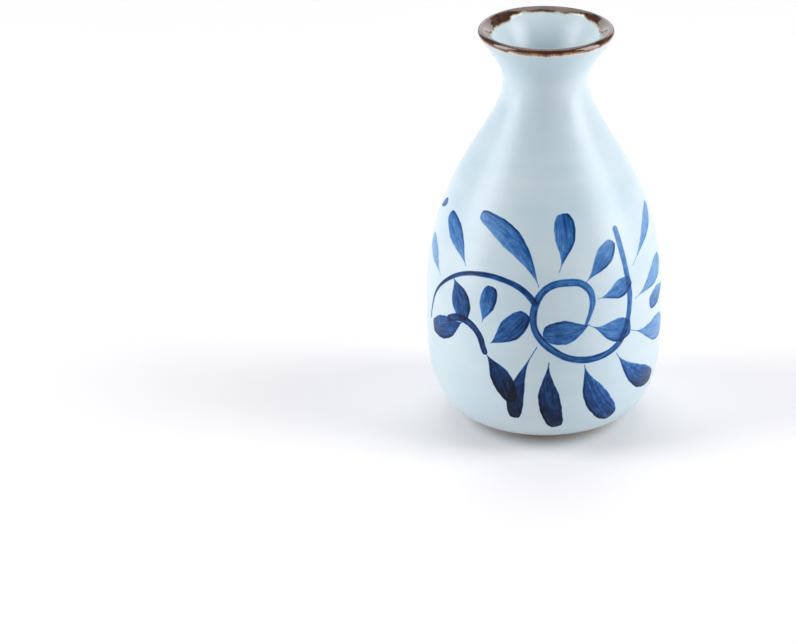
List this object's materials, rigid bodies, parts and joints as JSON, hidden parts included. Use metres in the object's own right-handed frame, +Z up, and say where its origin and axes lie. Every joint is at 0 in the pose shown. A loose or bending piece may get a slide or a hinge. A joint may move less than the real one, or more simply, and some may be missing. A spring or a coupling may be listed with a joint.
{
  "type": "sake bottle",
  "caption": "Round-bellied glazed ceramic sake bottle with a narrow neck, a flared brown-rimmed mouth, a low foot ring and a hand-painted blue leafy vine scroll.",
  "frame": {"origin": "middle of the foot ring's resting face, which is the middle of the box's bottom", "axes": "+Z up along the bottle's axis, towards the mouth; -Y is the painted front; +X is to the right as the front is seen"},
  "size_m": [0.0854, 0.086, 0.1485],
  "materials": {
    "clay": "bare fired clay, matte and slightly gritty",
    "pale_glaze": "soft gloss, pale blue-white",
    "brown_lip_glaze": "high gloss iron brown with a golden edge where it thins",
    "cobalt_paint": "brushed cobalt blue wash under the glaze's gloss"
  },
  "bodies": {
    "root": {"clay_body": "clay", "outer_glaze": "pale_glaze", "lining_glaze": "pale_glaze", "foot_well_glaze": "pale_glaze", "lip_glaze": "brown_lip_glaze", "back_arch_vine": "cobalt_paint", "back_hook_vine": "cobalt_paint", "back_leaf_01": "cobalt_paint", "back_leaf_02": "cobalt_paint", "back_leaf_03": "cobalt_paint", "back_leaf_04": "cobalt_paint", "back_leaf_05": "cobalt_paint", "back_leaf_06": "cobalt_paint", "back_leaf_07": "cobalt_paint", "back_leaf_08": "cobalt_paint", "back_leaf_09": "cobalt_paint", "back_leaf_10": "cobalt_paint", "back_leaf_11": "cobalt_paint", "back_leaf_12": "cobalt_paint", "back_leaf_13": "cobalt_paint", "back_leaf_14": "cobalt_paint", "back_leaf_15": "cobalt_paint", "back_leaf_16": "cobalt_paint", "back_leaf_17": "cobalt_paint", "back_leaf_18": "cobalt_paint", "back_leaf_19": "cobalt_paint", "back_leaf_20": "cobalt_paint", "back_leaf_21": "cobalt_paint", "back_leaf_22": "cobalt_paint", "back_scroll_vine": "cobalt_paint", "front_arch_vine": "cobalt_paint", "front_hook_vine": "cobalt_paint", "front_leaf_01": "cobalt_paint", "front_leaf_02": "cobalt_paint", "front_leaf_03": "cobalt_paint", "front_leaf_04": "cobalt_paint", "front_leaf_05": "cobalt_paint", "front_leaf_06": "cobalt_paint", "front_leaf_07": "cobalt_paint", "front_leaf_08": "cobalt_paint", "front_leaf_09": "cobalt_paint", "front_leaf_10": "cobalt_paint", "front_leaf_11": "cobalt_paint", "front_leaf_12": "cobalt_paint", "front_leaf_13": "cobalt_paint", "front_leaf_14": "cobalt_paint", "front_leaf_15": "cobalt_paint", "front_leaf_16": "cobalt_paint", "front_leaf_17": "cobalt_paint", "front_leaf_18": "cobalt_paint", "front_leaf_19": "cobalt_paint", "front_leaf_20": "cobalt_paint", "front_leaf_21": "cobalt_paint", "front_leaf_22": "cobalt_paint", "front_scroll_vine": "cobalt_paint"}
  },
  "joints": []
}
